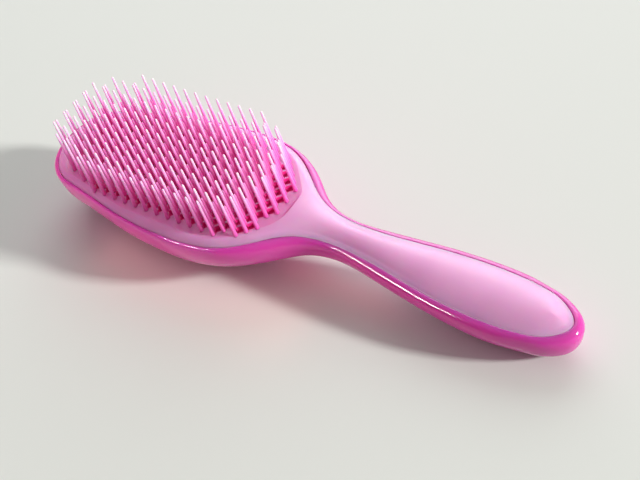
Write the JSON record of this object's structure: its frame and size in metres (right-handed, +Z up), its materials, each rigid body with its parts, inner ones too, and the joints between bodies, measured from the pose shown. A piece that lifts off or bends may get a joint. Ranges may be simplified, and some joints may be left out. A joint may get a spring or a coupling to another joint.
{
  "type": "detangling hair brush",
  "caption": "Paddle-headed detangling brush with long and short flexible teeth on a crossed lattice, a waisted neck and a rounded handle.",
  "frame": {"origin": "on the surface that the brush lies on, under the middle of its length and width", "axes": "+X from the head tip to the handle end, +Y across the brush, +Z up out of the tooth field, with the brush on its back"},
  "size_m": [0.226, 0.0594, 0.0507],
  "materials": {
    "back_shell": "glossy translucent magenta",
    "face_panel": "satin pale pink",
    "teeth": "semi-gloss flexible pink"
  },
  "bodies": {
    "root": {"back_shell": "back_shell", "face_panel": "face_panel", "tooth_strip_01": "teeth", "tooth_strip_02": "teeth", "tooth_strip_03": "teeth", "tooth_strip_04": "teeth", "tooth_strip_05": "teeth", "tooth_strip_06": "teeth", "tooth_strip_07": "teeth", "tooth_strip_08": "teeth", "tooth_strip_09": "teeth", "tooth_strip_10": "teeth", "tooth_strip_11": "teeth", "tooth_strip_12": "teeth", "tooth_strip_13": "teeth", "tooth_strip_14": "teeth", "tooth_strip_15": "teeth", "tooth_strip_16": "teeth", "tooth_strip_17": "teeth", "tooth_strip_18": "teeth", "tooth_strip_19": "teeth", "tooth_strip_20": "teeth", "tooth_strip_21": "teeth", "tooth_strip_22": "teeth"}
  },
  "joints": []
}
